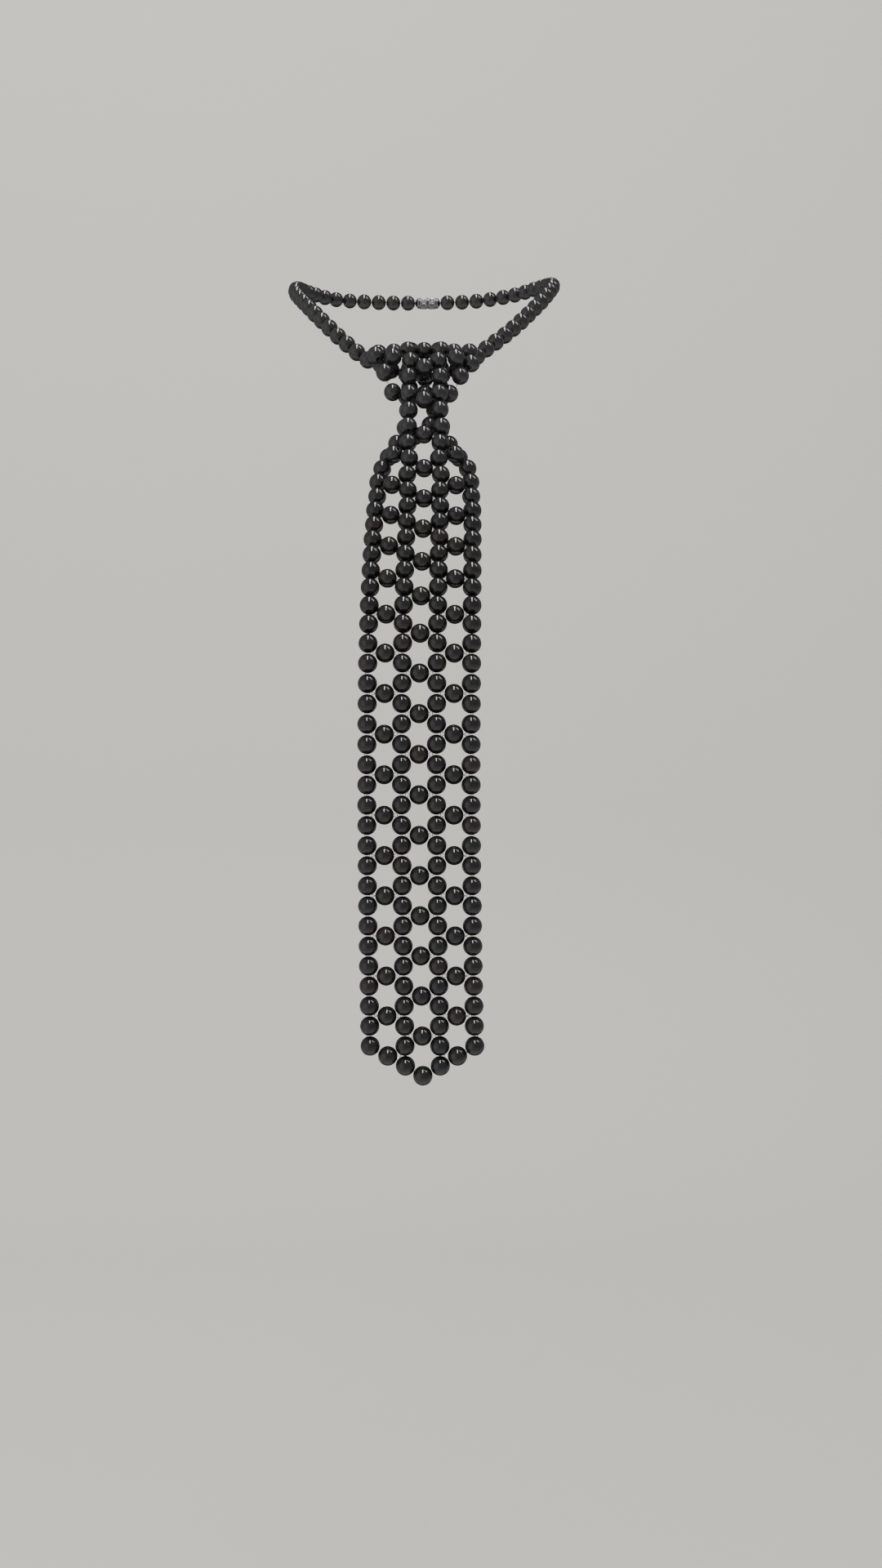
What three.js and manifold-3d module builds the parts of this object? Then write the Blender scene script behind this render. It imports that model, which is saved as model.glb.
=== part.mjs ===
// A necktie necklace woven from round black beads.
//
// The tie is one strip, seven beads wide. Four columns of beads run along it, and between each two
// columns every second gap holds a bridging bead, so that six beads stand round each open hexagon.
// The strip hangs flat, leans back towards the neck, is pinched to a waist and widens again into the
// knot, where it is folded over a single strand of beads that runs round the neck to a barrel clasp.
//
// Millimetres, +Z up, the front of the tie towards -Y. The origin is the middle of the clasp, at the
// nape of the neck.
import * as THREE from "three";
import { mergeVertices } from "three/addons/utils/BufferGeometryUtils.js";
import Module from "manifold-3d";

// ---------------------------------------------------------------- driving dimensions
const BEAD_RADIUS = 4;
const BEAD_SIDES = 6;
const BEAD_LATITUDE = 40; // degrees from the equator to the two other rings of a bead
const BEAD_END = 3.7; // from a bead's middle to the flat round its hole
const THREAD_RADIUS = 0.5;
const CONTACT = 8.12; // the least distance between the middles of two beads

const TIP_DEPTH = -202; // Y of the flat part of the strip
const TIP_HEIGHT = -383; // Z of the lowest inner beads
const BOW = 1.6; // how far the hanging strip swings to the left of its middle
const BOW_LENGTH = 240;

// Rows are counted from the lowest inner beads, 0. The outer columns start one row higher, and end at
// the top of the fold. The inner columns go on as a tongue behind the neck strand.
const LAST_BLADE_ROW = 34;
const OUTER_LAST_ROW = 40;
const INNER_LAST_ROW = 43;

const STRAND_PITCH = 8.15;
const BACK_BEADS = 12; // of each end of the strand, behind the neck
const SIDE_BEADS = 11; // that come next, beside the neck
const CLASP_LENGTH = 14;
const CLASP_RADIUS = 3.1;
const CLASP_SIDES = 12;
const CLASP_GAP = 0.3;
const THREAD_GAP = 0.3; // where one solid of the strand ends and the next begins

// Lean of the strip from the upright, in degrees, at distances along it from its lowest inner beads.
// It goes past 90 where the strip turns over the neck strand, and past 180 where its end turns under
// the strand, back to the front.
const LEAN = [
  { at: 0, lean: 0 },
  { at: 148, lean: 0 },
  { at: 164, lean: 4 },
  { at: 181, lean: 15 },
  { at: 205, lean: 26.5 },
  { at: 231, lean: 28 },
  { at: 256, lean: 24 },
  { at: 281, lean: 20.5 },
  { at: 298, lean: 14.5 },
  { at: 307, lean: 14 },
  { at: 315, lean: 27 },
  { at: 324, lean: 54 },
  { at: 332, lean: 94 },
  { at: 341, lean: 150 },
  { at: 350, lean: 195 },
  { at: 359, lean: 235 },
  { at: 368, lean: 265 },
  { at: 380, lean: 270 },
];

// Distance between the middles of the beads of a column. Beads hang closer together at the free end,
// and the outer columns are drawn apart where they turn from the waist into the fold.
const PITCH = [
  { at: 0, inner: 8.1, left: 8.1, right: 8.1 },
  { at: 230, inner: 8.39, left: 8.37, right: 8.37 },
  { at: 268, inner: 8.4, left: 8.2, right: 8.3 },
  { at: 279, inner: 8.4, left: 9.3, right: 10 },
  { at: 300, inner: 8.4, left: 9.7, right: 9.4 },
  { at: 310, inner: 8.45, left: 9.3, right: 9 },
  { at: 320, inner: 8.3, left: 8.8, right: 8.2 },
  { at: 331, inner: 9.1, left: 9, right: 8.6 },
];

// Half widths of the strip at distances along it: of the inner columns and of the left and right outer
// columns. The outer columns also stand back towards the neck, so at the waist they run behind the
// inner ones.
const WIDTHS = [
  { at: 0, inner: 7.1, left: 21.35, right: 21.35, backLeft: 0, backRight: 0 },
  { at: 100, inner: 7.15, left: 21.3, right: 21.3, backLeft: 0, backRight: 0 },
  { at: 205, inner: 7.05, left: 21.15, right: 21.15, backLeft: 0, backRight: 0 },
  { at: 223, inner: 7, left: 21.1, right: 21.1, backLeft: 0.9, backRight: 0.9 },
  { at: 239, inner: 7, left: 20.8, right: 20.9, backLeft: 2.4, backRight: 2.4 },
  { at: 256, inner: 7.05, left: 19.7, right: 20.1, backLeft: 4.6, backRight: 4.6 },
  { at: 264, inner: 7.1, left: 18.4, right: 19.1, backLeft: 5.8, backRight: 5.8 },
  { at: 272, inner: 7.1, left: 15.1, right: 14.4, backLeft: 7.4, backRight: 7.4 },
  { at: 280, inner: 7, left: 11.8, right: 10.2, backLeft: 8.8, backRight: 9 },
  { at: 287, inner: 6.8, left: 7.4, right: 6.2, backLeft: 9.4, backRight: 9.7 },
  { at: 295, inner: 6.7, left: 7.2, right: 3.6, backLeft: 8.4, backRight: 9 },
  { at: 302, inner: 6.7, left: 13.8, right: 11.4, backLeft: 4.8, backRight: 5.4 },
  { at: 309, inner: 6.85, left: 17.4, right: 15.8, backLeft: 1.4, backRight: 3.2 },
  { at: 318, inner: 7.4, left: 21.4, right: 20.6, backLeft: -0.6, backRight: 3.4 },
  { at: 327, inner: 7.4, left: 21, right: 20.2, backLeft: 2, backRight: 2.8 },
  { at: 345, inner: 7.2, left: 20.6, right: 20.2, backLeft: 2.4, backRight: 1.2 },
  { at: 380, inner: 7.1, left: 20, right: 20, backLeft: 0, backRight: 0 },
];

// The bridging beads of the left and right edges, by row. push is the share by which they leave the
// weave where its columns come together: outwards where it is below 0, and inwards at the waist. tuck
// is how far back they are put besides.
const EDGE_BRIDGES = [
  { at: 30, pushLeft: -0.3, pushRight: -0.3, tuckLeft: 0, tuckRight: 0 },
  { at: 32, pushLeft: -0.15, pushRight: -0.15, tuckLeft: 0, tuckRight: 0 },
  { at: 34, pushLeft: 1, pushRight: 1, tuckLeft: 0, tuckRight: 0 },
  { at: 36, pushLeft: 0, pushRight: 1, tuckLeft: 6, tuckRight: 0 },
  { at: 38, pushLeft: -0.3, pushRight: -0.45, tuckLeft: 0, tuckRight: 0 },
  { at: 40, pushLeft: -0.6, pushRight: -0.5, tuckLeft: 0, tuckRight: 0 },
];

// Route of the neck strand: from the nape, round the left of the neck, through the knot and back round
// the right.
const STRAND = [
  { x: 0, y: 0, z: 0 },
  { x: -26.4, y: -2, z: -0.3 },
  { x: -51.2, y: -10.6, z: -1.6 },
  { x: -64, y: -31.2, z: -5.2 },
  { x: -66.8, y: -56, z: -12.6 },
  { x: -65, y: -74.6, z: -22 },
  { x: -59.6, y: -88.8, z: -31.5 },
  { x: -49.3, y: -105.3, z: -46.2 },
  { x: -36.2, y: -118.7, z: -61.9 },
  { x: -26, y: -126.7, z: -71.6 },
  { x: -19.7, y: -131.2, z: -75 },
  { x: -14.6, y: -136, z: -79.2 },
  { x: -7.4, y: -138, z: -81.6 },
  { x: 0, y: -138.8, z: -82.6 },
  { x: 7.6, y: -138.2, z: -81.8 },
  { x: 13.4, y: -136, z: -79.6 },
  { x: 19.2, y: -131.2, z: -74.6 },
  { x: 27.8, y: -121.8, z: -65.2 },
  { x: 41.3, y: -107.3, z: -50.7 },
  { x: 56, y: -87, z: -30.9 },
  { x: 62.2, y: -73.4, z: -19.8 },
  { x: 64.6, y: -56, z: -10.6 },
  { x: 59.4, y: -33.8, z: -3.9 },
  { x: 45.6, y: -14.2, z: -1 },
  { x: 25.6, y: -3, z: 0 },
  { x: 0, y: 0, z: 0 },
];

// ---------------------------------------------------------------- materials
const glossBlack = new THREE.MeshStandardMaterial({ color: 0x17181b, roughness: 0.18, metalness: 0 });
const darkSteel = new THREE.MeshStandardMaterial({ color: 0x3a3b3f, roughness: 0.35, metalness: 1 });

// ---------------------------------------------------------------- small helpers
const X_AXIS = new THREE.Vector3(1, 0, 0);
const Z_AXIS = new THREE.Vector3(0, 0, 1);

function middle(points) {
  const sum = new THREE.Vector3();
  points.forEach((p) => sum.add(p));
  return sum.divideScalar(points.length);
}

function direction(from, to) {
  return to.clone().sub(from).normalize();
}

// The point in the plane of three others that is equally far from them.
function circumcentre(a, b, c) {
  const ab = b.clone().sub(a);
  const ac = c.clone().sub(a);
  const normal = ab.clone().cross(ac);
  const fromA = normal.clone().cross(ab).multiplyScalar(ac.lengthSq());
  fromA.addScaledVector(ac.clone().cross(normal), ab.lengthSq());
  return fromA.divideScalar(2 * normal.lengthSq()).add(a);
}

// The value of one column of a table at a distance, on straight lines between its rows.
function lookUp(table, column, at) {
  const next = table.findIndex((row) => row.at > at);
  if (next === -1) return table[table.length - 1][column];
  if (next === 0) return table[0][column];
  const [a, b] = [table[next - 1], table[next]];
  return THREE.MathUtils.mapLinear(at, a.at, b.at, a[column], b[column]);
}

// ---------------------------------------------------------------- the strip's middle line
const PROFILE_STEP = 0.5;
const WALK_STEP = 0.05;
const PROFILE_LENGTH = LEAN[LEAN.length - 1].at;

// Points of the middle line every PROFILE_STEP, found by following its lean.
const profile = [new THREE.Vector3(0, TIP_DEPTH, TIP_HEIGHT)];
for (let at = 0; at < PROFILE_LENGTH; at += PROFILE_STEP) {
  const step = wayAlong(at).multiplyScalar(PROFILE_STEP);
  profile.push(profile[profile.length - 1].clone().add(step));
}

function wayAlong(at) {
  const lean = THREE.MathUtils.degToRad(lookUp(LEAN, "lean", at));
  return new THREE.Vector3(0, Math.sin(lean), Math.cos(lean));
}

// The strip at a distance along it: the point in its middle and the way inwards, which is to the side
// that faces the neck.
function stripFrame(at) {
  const index = THREE.MathUtils.clamp(at / PROFILE_STEP, 0, profile.length - 1);
  const low = Math.min(Math.floor(index), profile.length - 2);
  const point = profile[low].clone().lerp(profile[low + 1], index - low);
  if (at < 0) point.z += at;
  point.x -= BOW * Math.sin(Math.PI * THREE.MathUtils.clamp(at / BOW_LENGTH, 0, 1));
  return { point, inward: wayAlong(at).cross(X_AXIS) };
}

// A column's own line. Its name is its column of WIDTHS and PITCH, and back is the one of WIDTHS that
// says how far it stands back.
function columnLine(name, side, back) {
  const pointAt = (at) => {
    const { point, inward } = stripFrame(at);
    point.addScaledVector(X_AXIS, side * lookUp(WIDTHS, name, at));
    return back ? point.addScaledVector(inward, lookUp(WIDTHS, back, at)) : point;
  };
  return { pointAt, pitchAt: (at) => lookUp(PITCH, name, at) };
}

// ---------------------------------------------------------------- beads
// Each bead has a point, where it is, a home, its place in the weave, and may be fixed there.
const beads = [];

function addBead(point, fixed = false) {
  const bead = { point: point.clone(), home: point.clone(), fixed };
  beads.push(bead);
  return bead;
}

// A column is its places, { point, at } for each row, one pitch apart along its line, and the beads
// that stand there. The places go one row past the beads at each end, for the bridging beads there.
function addColumn({ pointAt, pitchAt }, firstRow, lastRow) {
  const places = new Map();
  const columnBeads = new Map();
  const below = -pitchAt(0);
  places.set(-1, { point: pointAt(below), at: below });
  let at = 0;
  for (let row = 0; row <= lastRow + 1; row += 1) {
    const point = pointAt(at);
    places.set(row, { point, at });
    if (row >= firstRow && row <= lastRow) columnBeads.set(row, addBead(point));
    const pitch = pitchAt(at);
    while (pointAt(at).distanceTo(point) < pitch) at += WALK_STEP;
  }
  return { places, beads: columnBeads, bridges: new Map() };
}

// Bridging beads stand between two columns, beside every second gap of both. Where the columns come
// too close together to leave them room, they are pushed out of the weave. shiftAt gives for a row the
// share of that push, which goes inwards where it is above 0, and how far back the bead is tucked. The
// owner is the column whose solid holds them.
function addBridges(left, right, owner, firstRow, shiftAt) {
  for (let row = firstRow; left.places.has(row + 1) && right.places.has(row + 1); row += 2) {
    const [lefts, rights] = [left, right].map((c) => [c.places.get(row), c.places.get(row + 1)]);
    const corners = [...lefts, ...rights].map((place) => place.point);
    const centre = middle(corners);
    const across = direction(middle(corners.slice(0, 2)), middle(corners.slice(2)));
    const along = wayAlong((lefts[0].at + rights[0].at) / 2);
    const away = along.cross(across).normalize();
    const nearest = Math.min(...corners.map((corner) => corner.distanceTo(centre)));
    const push = Math.sqrt(Math.max(0, CONTACT ** 2 - nearest ** 2));
    const shift = shiftAt(row);
    centre.addScaledVector(away, shift.push * push);
    centre.y += shift.tuck;
    const bead = addBead(centre);
    bead.owner = owner;
    left.bridges.set(row, bead);
    right.bridges.set(row, bead);
  }
}

const outerLeft = addColumn(columnLine("left", -1, "backLeft"), 1, OUTER_LAST_ROW);
const innerLeft = addColumn(columnLine("inner", -1), 0, INNER_LAST_ROW);
const innerRight = addColumn(columnLine("inner", 1), 0, INNER_LAST_ROW);
const outerRight = addColumn(columnLine("right", 1, "backRight"), 1, OUTER_LAST_ROW);

// The bridging beads in the middle always stand out of the weave.
addBridges(outerLeft, innerLeft, outerLeft, 0, edgeShift("pushLeft", "tuckLeft"));
addBridges(innerLeft, innerRight, innerLeft, -1, () => ({ push: -1, tuck: 0 }));
addBridges(innerRight, outerRight, outerRight, 0, edgeShift("pushRight", "tuckRight"));

function edgeShift(push, tuck) {
  return (row) => ({ push: lookUp(EDGE_BRIDGES, push, row), tuck: lookUp(EDGE_BRIDGES, tuck, row) });
}

// ---------------------------------------------------------------- the neck strand
const routePoints = STRAND.map(({ x, y, z }) => new THREE.Vector3(x, y, z));
const route = new THREE.CatmullRomCurve3(routePoints, false, "centripetal");
route.arcLengthDivisions = 2000;
const routeLength = route.getLength();
const firstBead = CLASP_LENGTH / 2 + CLASP_GAP + BEAD_END;
const strandLength = routeLength - 2 * firstBead;
const lastNumber = Math.round(strandLength / STRAND_PITCH);

// Its beads, numbered from the left end of the clasp.
const strand = new Map();
for (let i = 0; i <= lastNumber; i += 1) {
  const distance = firstBead + (i * strandLength) / lastNumber;
  strand.set(i, addBead(route.getPointAt(distance / routeLength), true));
}

// ---------------------------------------------------------------- easing crowded beads apart
const EASING_ROUNDS = 300;
const HOME_PULL = 0.02;

// Each round draws every bead a little towards its home, then parts each pair of beads that stand
// closer together than beads can.
for (let round = 0; round < EASING_ROUNDS; round += 1) {
  for (const bead of beads) {
    if (!bead.fixed) bead.point.lerp(bead.home, HOME_PULL);
  }
  beads.forEach((a, index) => {
    for (const b of beads.slice(index + 1)) {
      const gap = a.point.distanceTo(b.point);
      if (gap >= CONTACT || (a.fixed && b.fixed)) continue;
      const share = a.fixed || b.fixed ? 1 : 0.5;
      const parting = direction(a.point, b.point).multiplyScalar((CONTACT - gap) * share);
      if (!a.fixed) a.point.sub(parting);
      if (!b.fixed) b.point.add(parting);
    }
  });
}

// ---------------------------------------------------------------- solids
const WELD = 1e-4; // points closer together than this become one

const wasm = await Module();
wasm.setup();

function toSolid(geometry) {
  const bare = new THREE.BufferGeometry();
  bare.setAttribute("position", geometry.getAttribute("position"));
  bare.setIndex(geometry.index);
  const merged = mergeVertices(bare, WELD);
  const vertProperties = new Float32Array(merged.getAttribute("position").array);
  const triVerts = new Uint32Array(merged.index.array);
  return new wasm.Manifold(new wasm.Mesh({ numProp: 3, vertProperties, triVerts }));
}

function toGeometry(solid) {
  const { vertProperties, triVerts } = solid.getMesh();
  const geometry = new THREE.BufferGeometry();
  geometry.setAttribute("position", new THREE.BufferAttribute(vertProperties, 3));
  geometry.setIndex(new THREE.BufferAttribute(triVerts, 1));
  return geometry;
}

// The rings of one bead on its thread: two either side of its equator, and the equator.
function beadRings(centre, axis) {
  return [-BEAD_LATITUDE, 0, BEAD_LATITUDE].map((degrees) => {
    const angle = THREE.MathUtils.degToRad(degrees);
    const ringCentre = centre.clone().addScaledVector(axis, BEAD_RADIUS * Math.sin(angle));
    return { centre: ringCentre, axis, radius: BEAD_RADIUS * Math.cos(angle) };
  });
}

// The two rings that end a string: a point at its bead, or a short end of thread at a junction.
function endRings(centre, outward, joint) {
  if (!joint) return [{ centre: centre.clone().addScaledVector(outward, BEAD_END), radius: 0 }];
  const tip = joint.clone().addScaledVector(outward, THREAD_RADIUS);
  return [{ centre: joint, radius: THREAD_RADIUS }, { centre: tip, radius: 0 }];
}

// A string of beads is lathed straight, as one body, and each of its rings is then laid where the
// thread takes it. joints are the points where the thread shows: before the first bead, between each
// two beads, and after the last one. It has null at an end that stops at its bead.
function stringOfBeads(centres, joints, sideways) {
  const last = centres.length - 1;
  const rings = centres.flatMap((centre, i) => {
    const before = joints[i] ?? centre.clone().lerp(joints[i + 1], -1);
    const after = joints[i + 1] ?? centre.clone().lerp(joints[i], -1);
    const axis = direction(before, after);
    const found = beadRings(centre, axis);
    if (i === 0) {
      const start = endRings(centre, axis.clone().negate(), joints[0]).reverse();
      found.unshift(...start.map((ring) => ({ ...ring, axis })));
    }
    if (i < last) {
      found.push({ centre: after, axis: direction(centre, centres[i + 1]), radius: THREAD_RADIUS });
    } else {
      const end = endRings(centre, axis, joints[i + 1]);
      found.push(...end.map((ring) => ({ ...ring, axis })));
    }
    return found;
  });
  const outline = rings.map((ring, i) => new THREE.Vector2(ring.radius, i));
  const geometry = new THREE.LatheGeometry(outline, BEAD_SIDES);
  const position = geometry.getAttribute("position");
  for (let i = 0; i < position.count; i += 1) {
    const { centre, axis } = rings[i % rings.length];
    const side = sideways.clone().projectOnPlane(axis).normalize();
    const front = axis.clone().cross(side);
    const laid = centre.clone().addScaledVector(front, position.getX(i));
    laid.addScaledVector(side, position.getZ(i));
    position.setXYZ(i, laid.x, laid.y, laid.z);
  }
  return toSolid(geometry);
}

// Where the threads of a column's gap meet: equally far from the beads that stand round it.
function junction(column, row) {
  const round = [column.beads.get(row), column.beads.get(row + 1), column.bridges.get(row)];
  const points = round.filter((bead) => bead).map((bead) => bead.point);
  return points.length === 3 ? circumcentre(...points) : middle(points);
}

// Rows of a column as one string, with the bridging beads that it owns, each on its own thread. The
// string reaches on to the junction where a bridging bead stands beside its end.
function columnSolid(column, firstRow, lastRow) {
  const lowest = column.bridges.get(firstRow - 1);
  const hangsBelow = lowest?.owner === column && !column.beads.has(firstRow - 1);
  const joints = [hangsBelow ? junction(column, firstRow - 1) : null];
  const centres = [];
  for (let row = firstRow; row <= lastRow; row += 1) {
    centres.push(column.beads.get(row).point);
    const goesOn = row < lastRow || column.bridges.has(row);
    joints.push(goesOn ? junction(column, row) : null);
  }
  let solid = stringOfBeads(centres, joints, X_AXIS);
  for (let row = hangsBelow ? firstRow - 1 : firstRow; row <= lastRow; row += 1) {
    const bridge = column.bridges.get(row);
    if (bridge?.owner !== column) continue;
    solid = solid.add(stringOfBeads([bridge.point], [junction(column, row), null], Z_AXIS));
  }
  return solid;
}

// Half way between two beads of the strand, or short of it where a solid ends. Next to the clasp there
// is no other bead, and so no such point.
function strandJoint(from, to, short = 0) {
  if (!strand.has(from) || !strand.has(to)) return null;
  const points = [strand.get(from).point, strand.get(to).point];
  return middle(points).addScaledVector(direction(...points), -short);
}

function strandString(first, last) {
  const short = THREAD_RADIUS + THREAD_GAP / 2;
  const centres = [];
  const joints = [strandJoint(first, first - 1, short)];
  for (let i = first; i <= last; i += 1) {
    centres.push(strand.get(i).point);
    joints.push(strandJoint(i, i + 1, i < last ? 0 : short));
  }
  return stringOfBeads(centres, joints, Z_AXIS);
}

// A plain screw barrel: two rounded halves that meet at a groove.
function barrelClasp() {
  const halfLength = CLASP_LENGTH / 2;
  const outline = [
    [0, -halfLength],
    [CLASP_RADIUS * 0.45, -halfLength],
    [CLASP_RADIUS * 0.85, -halfLength * 0.85],
    [CLASP_RADIUS, -halfLength * 0.6],
    [CLASP_RADIUS, -halfLength * 0.08],
    [CLASP_RADIUS * 0.88, 0],
    [CLASP_RADIUS, halfLength * 0.08],
    [CLASP_RADIUS, halfLength * 0.6],
    [CLASP_RADIUS * 0.85, halfLength * 0.85],
    [CLASP_RADIUS * 0.45, halfLength],
    [0, halfLength],
  ];
  const points = outline.map(([radius, height]) => new THREE.Vector2(radius, height));
  return toSolid(new THREE.LatheGeometry(points, CLASP_SIDES).rotateZ(-Math.PI / 2));
}

// ---------------------------------------------------------------- the necklace
// Left and right are as seen from the front.
const necklace = new THREE.Group();

function addPiece(name, solid, material = glossBlack) {
  const mesh = new THREE.Mesh(toGeometry(solid), material);
  mesh.name = name;
  necklace.add(mesh);
}

const KNOT_ROW = LAST_BLADE_ROW + 1;
addPiece("blade_edge_left", columnSolid(outerLeft, 1, LAST_BLADE_ROW));
addPiece("blade_inner_left", columnSolid(innerLeft, 0, LAST_BLADE_ROW));
addPiece("blade_inner_right", columnSolid(innerRight, 0, LAST_BLADE_ROW));
addPiece("blade_edge_right", columnSolid(outerRight, 1, LAST_BLADE_ROW));
addPiece("knot_edge_left", columnSolid(outerLeft, KNOT_ROW, OUTER_LAST_ROW));
addPiece("knot_inner_left", columnSolid(innerLeft, KNOT_ROW, INNER_LAST_ROW));
addPiece("knot_inner_right", columnSolid(innerRight, KNOT_ROW, INNER_LAST_ROW));
addPiece("knot_edge_right", columnSolid(outerRight, KNOT_ROW, OUTER_LAST_ROW));

const frontNumber = BACK_BEADS + SIDE_BEADS;
addPiece("neck_front", strandString(frontNumber, lastNumber - frontNumber));
addPiece("neck_side_left", strandString(BACK_BEADS, frontNumber - 1));
addPiece("neck_side_right", strandString(lastNumber - frontNumber + 1, lastNumber - BACK_BEADS));
addPiece("neck_back_left", strandString(0, BACK_BEADS - 1));
addPiece("neck_back_right", strandString(lastNumber - BACK_BEADS + 1, lastNumber));
addPiece("clasp_barrel", barrelClasp(), darkSteel);

export default necklace;
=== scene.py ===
"""The looks of the necktie necklace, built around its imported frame. In metres, with +Z up and the
front towards -Y.

Every bead is found in the frame's nodes, and a smooth drilled bead is made where it is. Twisted
thread runs from hole to hole, and a knurled screw clasp takes the place of the plain barrel.
"""
import math
import random
from collections import namedtuple

import bmesh
import bpy
import numpy as np
from mathutils import Matrix, Vector
from mathutils.kdtree import KDTree


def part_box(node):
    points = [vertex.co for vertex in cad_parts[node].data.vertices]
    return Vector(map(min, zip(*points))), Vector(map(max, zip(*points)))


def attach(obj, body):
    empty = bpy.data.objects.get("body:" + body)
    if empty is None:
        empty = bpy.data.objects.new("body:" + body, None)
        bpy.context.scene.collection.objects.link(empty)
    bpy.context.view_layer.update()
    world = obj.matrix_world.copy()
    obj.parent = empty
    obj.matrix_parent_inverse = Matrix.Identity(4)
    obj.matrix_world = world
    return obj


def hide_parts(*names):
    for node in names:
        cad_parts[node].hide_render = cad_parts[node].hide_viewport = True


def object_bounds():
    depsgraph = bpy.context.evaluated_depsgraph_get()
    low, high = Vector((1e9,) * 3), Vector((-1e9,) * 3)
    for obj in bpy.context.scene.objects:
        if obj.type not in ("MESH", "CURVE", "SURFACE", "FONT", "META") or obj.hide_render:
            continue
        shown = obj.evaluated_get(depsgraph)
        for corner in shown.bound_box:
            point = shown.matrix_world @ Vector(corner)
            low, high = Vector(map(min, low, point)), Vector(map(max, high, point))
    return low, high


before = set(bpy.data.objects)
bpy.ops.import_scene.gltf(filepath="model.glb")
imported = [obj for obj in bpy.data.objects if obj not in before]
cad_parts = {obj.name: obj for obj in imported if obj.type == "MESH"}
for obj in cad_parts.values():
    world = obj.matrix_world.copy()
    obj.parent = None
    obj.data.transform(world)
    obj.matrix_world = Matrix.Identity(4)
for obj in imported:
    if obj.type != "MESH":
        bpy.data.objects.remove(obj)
cad_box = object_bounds()

# ---------------------------------------------------------------- the frame's nodes
TIE_NODES = (
    "blade_edge_left", "blade_inner_left", "blade_inner_right", "blade_edge_right",
    "knot_edge_left", "knot_inner_left", "knot_inner_right", "knot_edge_right",
)
NECK_NODES = (
    "neck_back_left", "neck_side_left", "neck_front", "neck_side_right", "neck_back_right",
)
CLASP_NODE = "clasp_barrel"
RING_SIDES = 6  # of a bead's equator in the frame
RING_TOLERANCE = 0.00001
WELD_DISTANCE = 1e-6  # vertices nearer to each other than this are one

# ---------------------------------------------------------------- beads
BEAD_RADIUS = 0.004
SMALLEST_BEAD = 0.985  # beads differ a little in size: the smallest, as a share of the largest
HOLE_RADIUS = 0.0006
HOLE_ROUNDING = 0.0003
ROUNDING_TURNS = (30, 60, 90)  # degrees of the rounding at which it has a ring of vertices
BEAD_SIDES = 36
BEAD_BANDS = 22  # from one hole to the other
BEAD_SEED = 8

# A bead's black is one of these or lies between two: its place on the ramp, and the colour.
BEAD_TINTS = (
    (0.0, (0.0145, 0.0118, 0.01)),  # a little brown
    (0.3, (0.011, 0.0105, 0.0105)),
    (0.65, (0.010, 0.010, 0.011)),
    (1.0, (0.0105, 0.013, 0.0105)),  # a little green
)
# Painted light: the beads of the knot and the neck strand are drawn lighter and greyer than the
# rest, for the light that falls on them, not a tint of their own.
PAINTED_LIGHT_TINT = (0.0205, 0.0205, 0.022)
PAINTED_LIGHT_FROM = -0.15  # height at which beads begin to take the painted light tint
PAINTED_LIGHT_FULLY = -0.1

# ---------------------------------------------------------------- thread
STRAND_RADIUS = 0.00008  # two strands are twisted into a thread
STRAND_SPREAD = 0.95  # from the thread's middle to a strand's, as a share of the strand's radius
THREAD_REACH = 0.0026  # the longest stretch of thread from one bead's hole to the next
THREAD_INSIDE = 0.0012  # how far a stretch of thread goes on inside a bead
THREAD_STIFFNESS = 0.25  # how far it keeps to the hole's direction, as a share of its length
THREAD_TURNS = 1.5
THREAD_POINTS = 13
SAME_WAY = 0.6  # holes whose ways out have at least this cosine don't face each other

# ---------------------------------------------------------------- clasp
CLASP_RIDGES = 22
SIDES_PER_RIDGE = 6
# Half of the clasp's outline, from its end to its middle: its radius as a share of the barrel's,
# and its place as a share of half the barrel's length. A pair instead of a radius is knurled: the
# share on a ridge, and how much less it is in a groove.
CLASP_OUTLINE = (
    (0, 1), (0.2, 1), (0.27, 0.985), (0.42, 0.975), (0.47, 0.95), (0.5, 0.915), (0.62, 0.89),
    (0.78, 0.84), (0.9, 0.77), (0.94, 0.72), (0.93, 0.7), (0.84, 0.685), (0.84, 0.665),
    (0.93, 0.65), (0.97, 0.63), (0.97, 0.6), (0.93, 0.58), (0.9, 0.565),
    ((0.95, 0.0), 0.55), ((0.99, 0.09), 0.52), ((1.0, 0.11), 0.3), ((0.99, 0.09), 0.14),
    ((0.95, 0.0), 0.11), (0.92, 0.1), (0.96, 0.085), (0.97, 0.05), (0.93, 0.03), (0.82, 0.018),
)

# ---------------------------------------------------------------- stage, lights and camera
FLOOR_DEPTH = 0.42  # below the lowest bead
FLOOR_FRONT = -4.0
WALL_DISTANCE = 1.3  # behind the clasp
WALL_HEIGHT = 4.0
SWEEP_RADIUS = 0.5  # where the floor turns up into the wall
SWEEP_STEPS = 16
HALF_STAGE_WIDTH = 5.0
FAR_WALL_RADIUS = 9
PALE_PAPER = (0.74, 0.722, 0.668)

Lamp = namedtuple("Lamp", "name place target width length radiance shines_on")
LAMPS = (
    Lamp("ceiling_strip", (-0.02, -1.33, 2.0), (-0.02, -1.329, 0.0), 0.36, 2.95, 24, "glossy"),
    Lamp("rear_strip", (-0.02, 0.75, 2.0), (-0.02, 0.751, 0.0), 0.36, 0.9, 3, "glossy"),
    Lamp("right_window", (1.12, -0.56, 1.46), (0.0, -0.2, -0.25), 0.5, 1.1, 8, "glossy"),
    Lamp("soft_key", (-0.6, -1.6, 2.2), (cad_box[0] + cad_box[1]) / 2, 2.4, 2.4, 5.8, "diffuse"),
)
ROOM_COLOUR = (1.0, 0.985, 0.985)
PATCH_WAY = (-0.775, -0.63, 0.05)  # direction of the bright patch in the room

CAMERA_PLACE = Vector((0.0074, -0.753, -0.268))
CAMERA_LENS = 31  # millimetres, on a sensor whose long side is 36

Bead = namedtuple("Bead", "middle axis")  # axis is the direction of its hole
HoleEnd = namedtuple("HoleEnd", "owner place way")  # way is the direction out of the hole


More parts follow.
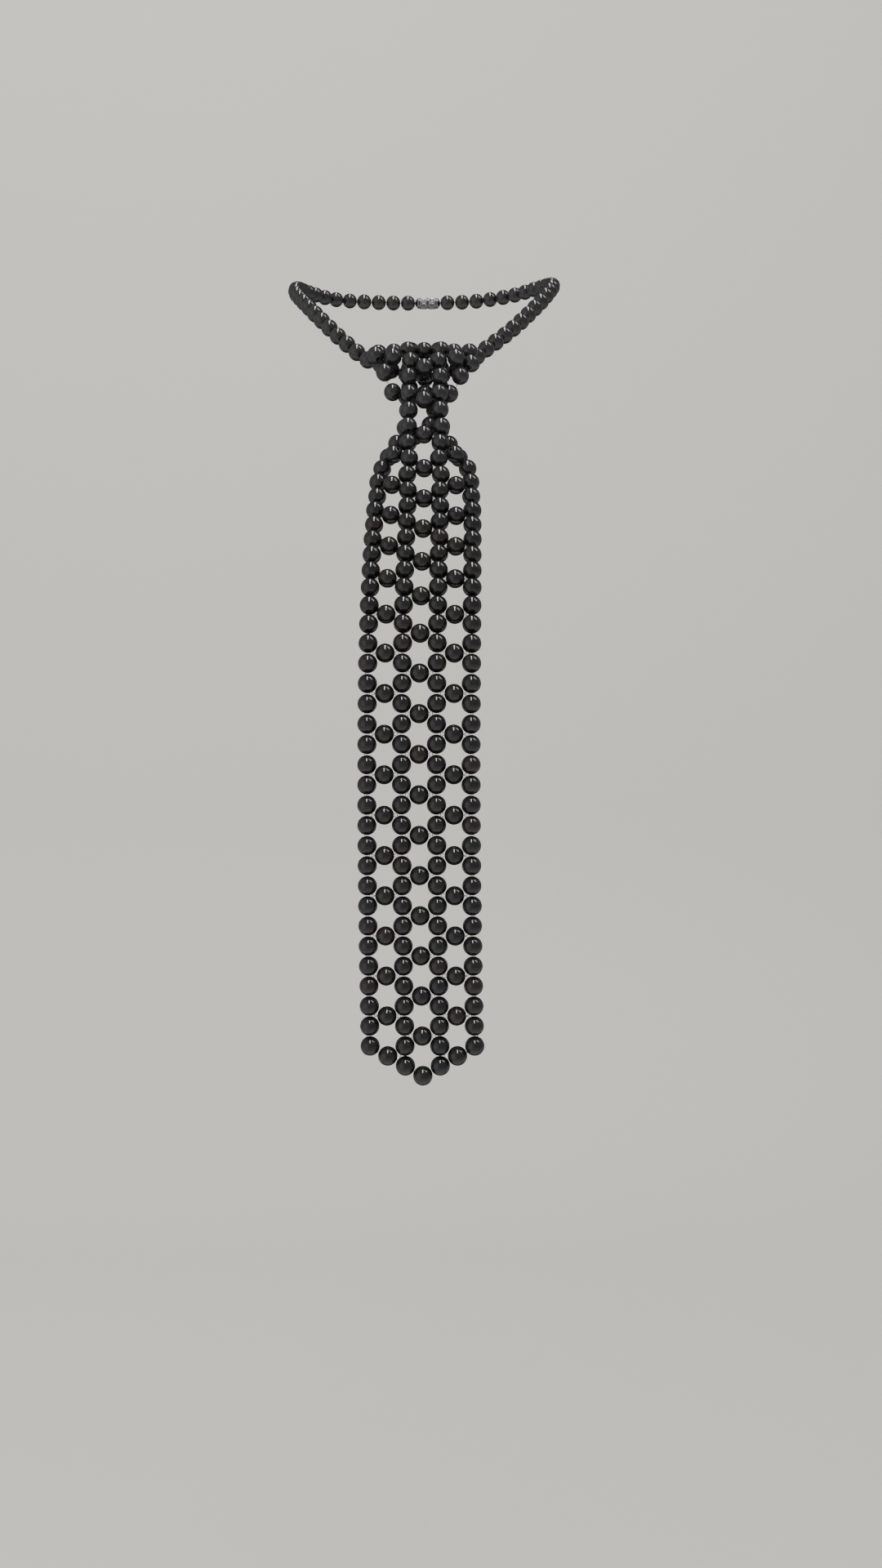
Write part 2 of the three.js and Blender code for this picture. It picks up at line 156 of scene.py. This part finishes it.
# ---------------------------------------------------------------- nodes of materials and the world
def add_node(tree, kind, **settings):
    """A new node. Each setting is the value of one of its inputs, or else one of its options."""
    node = tree.nodes.new(kind)
    for key, value in settings.items():
        if key in node.inputs:
            node.inputs[key].default_value = value
        else:
            setattr(node, key, value)
    return node


def ramp(tree, source, low, high, at_low, at_high):
    """The value of a socket, which runs from low to high, laid out between at_low and at_high."""
    node = add_node(tree, "ShaderNodeMapRange")
    node.inputs["From Min"].default_value = low
    node.inputs["From Max"].default_value = high
    node.inputs["To Min"].default_value = at_low
    node.inputs["To Max"].default_value = at_high
    tree.links.new(source, node.inputs["Value"])
    return node.outputs["Result"]


def combined(tree, operation, *sources):
    """The values of sockets, put together by a maths operation."""
    node = add_node(tree, "ShaderNodeMath", operation=operation)
    for source, socket in zip(sources, node.inputs):
        tree.links.new(source, socket)
    return node.outputs["Value"]


def mixed(tree, factor, colour_a, colour_b):
    """A mix of two colours by the value of a socket. A colour is (red, green, blue) or a socket."""
    mix = add_node(tree, "ShaderNodeMix", data_type="RGBA")
    for name, colour in (("A", colour_a), ("B", colour_b)):
        if isinstance(colour, tuple):
            mix.inputs[name].default_value = (*colour, 1)
        else:
            tree.links.new(colour, mix.inputs[name])
    tree.links.new(factor, mix.inputs["Factor"])
    return mix.outputs["Result"]


def split(tree, source):
    """The X, Y and Z of a vector socket."""
    parts = add_node(tree, "ShaderNodeSeparateXYZ")
    tree.links.new(source, parts.inputs["Vector"])
    return parts.outputs["X"], parts.outputs["Y"], parts.outputs["Z"]


# ---------------------------------------------------------------- materials
def new_material(name, settings):
    """A material, its node tree and its shader, whose own sockets get the settings."""
    material = bpy.data.materials.new(name)
    material.use_nodes = True
    tree = material.node_tree
    shader = tree.nodes["Principled BSDF"]
    for socket, value in settings.items():
        shader.inputs[socket].default_value = value
    return material, tree, shader


def noise(tree, **settings):
    """Noise that keeps its place on the object."""
    place = add_node(tree, "ShaderNodeTexCoord")
    texture = add_node(tree, "ShaderNodeTexNoise", **settings)
    tree.links.new(place.outputs["Object"], texture.inputs["Vector"])
    return texture.outputs["Fac"]


def finish_surface(tree, shader, colour, gloss, smoothest, roughest, relief, strength, distance):
    """Links a shader's colour, its roughness, which follows the gloss noise between two limits, and
    its bump, which follows the relief noise."""
    tree.links.new(colour, shader.inputs["Base Color"])
    roughness = ramp(tree, gloss, 0, 1, smoothest, roughest)
    tree.links.new(roughness, shader.inputs["Roughness"])
    bump = add_node(tree, "ShaderNodeBump", Strength=strength, Distance=distance)
    tree.links.new(relief, bump.inputs["Height"])
    tree.links.new(bump.outputs["Normal"], shader.inputs["Normal"])


def glossy_black():
    """Polished black acrylic. Each bead has its own slight tint and a faint haze. The beads of the
    knot and the neck strand are painted lighter and greyer: painted light, for how light falls on
    the top of the necklace, not a tint of their own."""
    material, tree, shader = new_material("polished_black_beads", {"IOR": 1.45})
    tint = add_node(tree, "ShaderNodeAttribute", attribute_name="tint")
    tints = add_node(tree, "ShaderNodeValToRGB")
    elements = tints.color_ramp.elements
    while len(elements) < len(BEAD_TINTS):
        elements.new(0.5)
    for element, (position, colour) in zip(elements, BEAD_TINTS):
        element.position = position
        element.color = (*colour, 1)
    tree.links.new(tint.outputs["Fac"], tints.inputs["Fac"])

    # Painted light: higher beads, in the knot and the neck strand, are made lighter and greyer by
    # their height.
    place = add_node(tree, "ShaderNodeTexCoord")
    height = split(tree, place.outputs["Object"])[2]
    painted_light = ramp(tree, height, PAINTED_LIGHT_FROM, PAINTED_LIGHT_FULLY, 0, 1)
    finish_surface(
        tree, shader,
        colour=mixed(tree, painted_light, tints.outputs["Color"], PAINTED_LIGHT_TINT),
        gloss=noise(tree, Scale=420, Detail=4, Roughness=0.6), smoothest=0.03, roughest=0.1,
        relief=noise(tree, Scale=650, Detail=2), strength=0.06, distance=0.0002,
    )
    return material


def black_thread():
    """Waxed black beading thread, a little fuzzy."""
    material, tree, shader = new_material("black_thread", {"IOR": 1.5})
    fibres = noise(tree, Scale=9000, Detail=3)
    finish_surface(
        tree, shader,
        colour=mixed(tree, fibres, (0.008, 0.008, 0.009), (0.028, 0.027, 0.027)),
        gloss=fibres, smoothest=0.4, roughest=0.65,
        relief=fibres, strength=0.5, distance=0.00005,
    )
    return material


def dark_plating():
    """Satin plated metal, mottled where hands have rubbed it."""
    material, tree, shader = new_material("dark_plated_metal", {"Metallic": 1})
    rubbed = noise(tree, Scale=500, Detail=5, Roughness=0.65)
    finish_surface(
        tree, shader,
        colour=mixed(tree, rubbed, (0.11, 0.11, 0.118), (0.24, 0.24, 0.25)),
        gloss=rubbed, smoothest=0.22, roughest=0.42,
        relief=rubbed, strength=0.15, distance=0.00005,
    )
    return material


def matt_pale(name):
    """Matt pale paper, the same all over."""
    settings = {"Base Color": (*PALE_PAPER, 1), "Roughness": 0.85, "Specular IOR Level": 0.2}
    return new_material(name, settings)[0]


# ---------------------------------------------------------------- reading the frame
def find_beads(node_name):
    """The beads of a CAD node. There a bead's equator is a hexagon, square to the hole. Its sides
    are as long as the bead's radius, and its corners are as far from its middle."""
    solid = bmesh.new()
    solid.from_mesh(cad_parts[node_name].data)
    bmesh.ops.remove_doubles(solid, verts=solid.verts, dist=WELD_DISTANCE)
    beside = {}
    for edge in solid.edges:
        if abs(edge.calc_length() - BEAD_RADIUS) < RING_TOLERANCE:
            a, b = edge.verts
            beside.setdefault(a.index, []).append(b.index)
            beside.setdefault(b.index, []).append(a.index)
    solid.verts.ensure_lookup_table()
    beads = []
    while beside:
        ring = [next(iter(beside))]
        for index in ring:
            ring += [other for other in beside.pop(index) if other not in ring]
        if len(ring) != RING_SIDES:
            continue
        corners = [solid.verts[index].co for index in ring]
        middle = sum(corners, Vector()) / RING_SIDES
        radii = [(corner - middle).length for corner in corners]
        if any(abs(radius - BEAD_RADIUS) > RING_TOLERANCE for radius in radii):
            continue
        axis = (corners[0] - middle).cross(corners[1] - middle).normalized()
        beads.append(Bead(middle, axis))
    solid.free()
    return beads


# ---------------------------------------------------------------- objects and meshes
def add_object(name, data):
    made = bpy.data.objects.new(name, data)
    bpy.context.scene.collection.objects.link(made)
    return made


def dress(mesh, material):
    """Gives a mesh smooth shading and one material."""
    mesh.polygons.foreach_set("use_smooth", [True] * len(mesh.polygons))
    mesh.materials.clear()
    mesh.materials.append(material)


def add_mesh_object(name, verts, faces, material):
    mesh = bpy.data.meshes.new(name)
    mesh.from_pydata(verts, [], faces)
    dress(mesh, material)
    return add_object(name, mesh)


def new_piece(name, verts, faces, material, node):
    """A piece of the necklace that stands for a CAD node."""
    piece = add_mesh_object(name, verts, faces, material)
    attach(piece, "root")
    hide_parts(node)
    return piece


def new_stage_piece(name, verts, faces, material):
    piece = add_mesh_object(name, verts, faces, material)
    return piece


def lathe(outline, sides, closed):
    """Turns an outline of (radius, height) pairs round Z. Where it isn't closed on itself, its ends
    are on Z. A radius may also be a function of the angle."""
    angles = [2 * math.pi * i / sides for i in range(sides)]
    verts = []
    for radius, height in outline:
        for angle in angles:
            r = radius(angle) if callable(radius) else radius
            verts.append((r * math.cos(angle), r * math.sin(angle), height))
    faces = []
    bands = len(outline) if closed else len(outline) - 1
    for i in range(bands):
        low, high = i * sides, (i + 1) % len(outline) * sides
        for j in range(sides):
            k = (j + 1) % sides
            faces.append((low + j, low + k, high + k, high + j))
    return np.array(verts), faces


def bead_outline():
    """A ball with a hole through it, and a rounded edge where the hole comes out."""
    edge_radius = HOLE_RADIUS + HOLE_ROUNDING
    start = math.asin(edge_radius / BEAD_RADIUS)
    edge_height = BEAD_RADIUS * math.cos(start)
    ball = []
    for i in range(BEAD_BANDS + 1):
        angle = math.pi - start - (math.pi - 2 * start) * i / BEAD_BANDS
        ball.append((BEAD_RADIUS * math.sin(angle), BEAD_RADIUS * math.cos(angle)))
    rounding = []
    for turn in ROUNDING_TURNS:
        across = HOLE_ROUNDING * math.sin(math.radians(turn))
        down = HOLE_ROUNDING * (1 - math.cos(math.radians(turn)))
        rounding.append((edge_radius - across, edge_height - down))
    mirrored = [(radius, -height) for radius, height in reversed(rounding)]
    return [*mirrored, *ball, *rounding]


def make_beads(node, beads, material, rng):
    """The beads of one node as one mesh. Each has a random size, tint and turn about its hole."""
    template, template_faces = lathe(bead_outline(), BEAD_SIDES, closed=True)
    verts, faces, tints = [], [], []
    for bead in beads:
        size = rng.uniform(SMALLEST_BEAD, 1)
        turn = Matrix.Rotation(rng.uniform(0, 2 * math.pi), 3, "Z")
        turned = np.array(bead.axis.to_track_quat("Z", "Y").to_matrix() @ turn)
        first = len(template) * len(tints)
        verts.append(size * template @ turned.T + np.array(bead.middle))
        faces += [tuple(first + i for i in face) for face in template_faces]
        tints.append(rng.random())
    verts = np.concatenate(verts).tolist()
    piece = new_piece(node + "_beads", verts, faces, material, node)
    tint = piece.data.attributes.new("tint", "FLOAT", "POINT")
    tint.data.foreach_set("value", np.repeat(tints, len(template)).astype(np.float32))


# ---------------------------------------------------------------- thread
def hole_ends(beads):
    """The two ends of each bead's hole."""
    ends = []
    for number, bead in enumerate(beads):
        for way in (bead.axis, -bead.axis):
            ends.append(HoleEnd(number, bead.middle + way * BEAD_RADIUS, way))
    return ends


def clasp_ends():
    """The clasp's two ends, as hole ends that thread can run from."""
    low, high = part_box(CLASP_NODE)
    middle = (low + high) / 2
    ends = []
    for x, side in ((low.x, -1), (high.x, 1)):
        ends.append(HoleEnd("clasp", Vector((x, middle.y, middle.z)), Vector((side, 0, 0))))
    return ends


def thread_stretches(ends):
    """Pairs of hole ends that face each other: those that thread runs between."""
    tree = KDTree(len(ends))
    for i, end in enumerate(ends):
        tree.insert(end.place, i)
    tree.balance()
    stretches = []
    for i, end in enumerate(ends):
        for _, j, _ in tree.find_range(end.place, THREAD_REACH):
            other = ends[j]
            if j > i and other.owner != end.owner and end.way.dot(other.way) < SAME_WAY:
                stretches.append((end, other))
    return stretches


def strand_points(start, end, phase):
    """One strand of a stretch of thread: a smooth curve from inside one bead to inside the other,
    with the strand winding round it."""
    a = start.place - start.way * THREAD_INSIDE
    b = end.place - end.way * THREAD_INSIDE
    pull = (b - a).length * THREAD_STIFFNESS
    along = (b - a).normalized()
    side = along.orthogonal().normalized()
    points = []
    for i in range(THREAD_POINTS):
        t = i / (THREAD_POINTS - 1)
        s = 1 - t
        place = s**3 * a + 3 * s * s * t * (a + start.way * pull)
        place += 3 * s * t * t * (b + end.way * pull) + t**3 * b
        turn = Matrix.Rotation(phase + 2 * math.pi * THREAD_TURNS * t, 3, along)
        points.append(place + turn @ side * STRAND_RADIUS * STRAND_SPREAD)
    return points


def make_thread(name, stretches, material):
    """The two strands of every stretch of thread, drawn as curves and kept as one mesh."""
    curve = bpy.data.curves.new(name, "CURVE")
    curve.dimensions = "3D"
    curve.bevel_depth = STRAND_RADIUS
    curve.bevel_resolution = 1
    curve.use_fill_caps = True
    for start, end in stretches:
        for phase in (0, math.pi):
            points = strand_points(start, end, phase)
            spline = curve.splines.new("POLY")
            spline.points.add(len(points) - 1)
            for point, place in zip(spline.points, points):
                point.co = (*place, 1)
    drawn = add_object(name + "_drawn", curve)
    evaluated = drawn.evaluated_get(bpy.context.evaluated_depsgraph_get())
    mesh = bpy.data.meshes.new_from_object(evaluated)
    bpy.data.objects.remove(drawn)
    mesh.name = name
    dress(mesh, material)
    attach(add_object(name, mesh), "root")


# ---------------------------------------------------------------- clasp
def make_clasp(material):
    """A screw clasp: two knurled halves with a smooth collar at each end and a groove between."""
    low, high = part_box(CLASP_NODE)
    middle, half = (low + high) / 2, (high.x - low.x) / 2
    radius = (high.z - low.z) / 2

    def knurled(share, depth):
        return lambda angle: radius * (share - depth * abs(math.sin(CLASP_RIDGES * angle / 2)))

    outline = []
    for share, height in CLASP_OUTLINE:
        at = knurled(*share) if isinstance(share, tuple) else share * radius
        outline.append((at, -height * half))
    outline += [(at, -height) for at, height in reversed(outline)]
    verts, faces = lathe(outline, CLASP_RIDGES * SIDES_PER_RIDGE, closed=False)
    lying = Matrix.Rotation(math.pi / 2, 3, "Y")
    verts = verts @ np.array(lying).T + np.array(middle)
    piece = new_piece("clasp_screw_barrel", verts.tolist(), faces, material, CLASP_NODE)
    barrel = bmesh.new()
    barrel.from_mesh(piece.data)
    bmesh.ops.remove_doubles(barrel, verts=barrel.verts, dist=WELD_DISTANCE)
    bmesh.ops.recalc_face_normals(barrel, faces=barrel.faces)
    barrel.to_mesh(piece.data)
    barrel.free()


# ---------------------------------------------------------------- stage, lights and camera
def make_stage(low):
    """A pale floor that sweeps up into a pale wall. The beads don't mirror it."""
    floor_height = low.z - FLOOR_DEPTH
    outline = [(FLOOR_FRONT, 0.0)]
    for i in range(SWEEP_STEPS + 1):
        turn = math.radians(90 * i / SWEEP_STEPS)
        along = WALL_DISTANCE - SWEEP_RADIUS + SWEEP_RADIUS * math.sin(turn)
        outline.append((along, SWEEP_RADIUS * (1 - math.cos(turn))))
    outline.append((WALL_DISTANCE, WALL_HEIGHT))
    sides = (-HALF_STAGE_WIDTH, HALF_STAGE_WIDTH)
    verts = [(x, y, floor_height + z) for y, z in outline for x in sides]
    faces = [(i, i + 1, i + 3, i + 2) for i in range(0, len(verts) - 2, 2)]
    sweep = new_stage_piece("studio_sweep", verts, faces, matt_pale("pale_paper"))
    sweep.visible_glossy = False


def make_far_wall(low):
    """A pale round wall far off, which closes the view where the sweep ends. Only the camera sees
    it."""
    ball = bmesh.new()
    bmesh.ops.create_icosphere(ball, subdivisions=4, radius=FAR_WALL_RADIUS)
    bmesh.ops.reverse_faces(ball, faces=ball.faces)
    bmesh.ops.translate(ball, verts=ball.verts, vec=(0, 0, low.z))
    verts = [tuple(vert.co) for vert in ball.verts]
    faces = [[vert.index for vert in face.verts] for face in ball.faces]
    ball.free()
    wall = new_stage_piece("far_wall", verts, faces, matt_pale("pale_far_wall"))
    wall.visible_diffuse = False
    wall.visible_glossy = False
    wall.visible_transmission = False
    wall.visible_shadow = False


def make_lamp(lamp):
    """A flat lamp that shines from its place towards its target. Its length lies level, across its
    width. It makes either reflections or soft light, as shines_on says."""
    light = bpy.data.lights.new(lamp.name, "AREA")
    light.shape = "RECTANGLE"
    light.size = lamp.width
    light.size_y = lamp.length
    light.energy = lamp.radiance * math.pi * lamp.width * lamp.length
    made = add_object(lamp.name, light)
    made.location = lamp.place
    made.rotation_mode = "QUATERNION"
    back = Vector(lamp.place) - Vector(lamp.target)
    made.rotation_quaternion = back.to_track_quat("Z", "Y")
    made.visible_camera = False
    made.visible_diffuse = lamp.shines_on == "diffuse"
    made.visible_glossy = lamp.shines_on == "glossy"


def make_room():
    """The room that the beads reflect, by direction: pale below, dimmer above, dark behind, apart
    from far to the sides, and with a soft bright patch in front on the left."""
    world = bpy.data.worlds.new("pale_room")
    bpy.context.scene.world = world
    world.use_nodes = True
    tree = world.node_tree
    background = tree.nodes["Background"]
    background.inputs["Color"].default_value = (*ROOM_COLOUR, 1)
    direction = add_node(tree, "ShaderNodeTexCoord").outputs["Generated"]
    x, y, z = split(tree, direction)

    by_height = ramp(tree, z, -0.95, -0.1, at_low=1.25, at_high=0.42)
    behind = ramp(tree, y, 0.0, 0.5, at_low=1.0, at_high=0.12)
    aside = ramp(tree, combined(tree, "ABSOLUTE", x), 0.4, 0.75, at_low=0.12, at_high=1.0)
    by_side = combined(tree, "MAXIMUM", behind, aside)

    towards = add_node(tree, "ShaderNodeVectorMath", operation="DOT_PRODUCT")
    towards.inputs[1].default_value = PATCH_WAY
    tree.links.new(direction, towards.inputs[0])
    patch = ramp(tree, towards.outputs["Value"], 0.75, 1.0, at_low=0.0, at_high=0.8)

    room = combined(tree, "ADD", combined(tree, "MULTIPLY", by_height, by_side), patch)
    tree.links.new(room, background.inputs["Strength"])


def make_camera():
    data = bpy.data.cameras.new("camera")
    data.lens = CAMERA_LENS
    camera = add_object("camera", data)
    camera.location = CAMERA_PLACE
    camera.rotation_euler = (math.pi / 2, 0, 0)
    bpy.context.scene.camera = camera


# ---------------------------------------------------------------- the necklace
rng = random.Random(BEAD_SEED)
bead_material = glossy_black()
thread_material = black_thread()

beads_of = {name: find_beads(name) for name in (*TIE_NODES, *NECK_NODES)}
for name, beads in beads_of.items():
    make_beads(name, beads, bead_material, rng)

tie_ends = hole_ends([bead for name in TIE_NODES for bead in beads_of[name]])
neck_ends = hole_ends([bead for name in NECK_NODES for bead in beads_of[name]]) + clasp_ends()
make_thread("tie_thread", thread_stretches(tie_ends), thread_material)
make_thread("neck_thread", thread_stretches(neck_ends), thread_material)
make_clasp(dark_plating())

make_stage(cad_box[0])
make_far_wall(cad_box[0])
for lamp in LAMPS:
    make_lamp(lamp)
make_room()
make_camera()
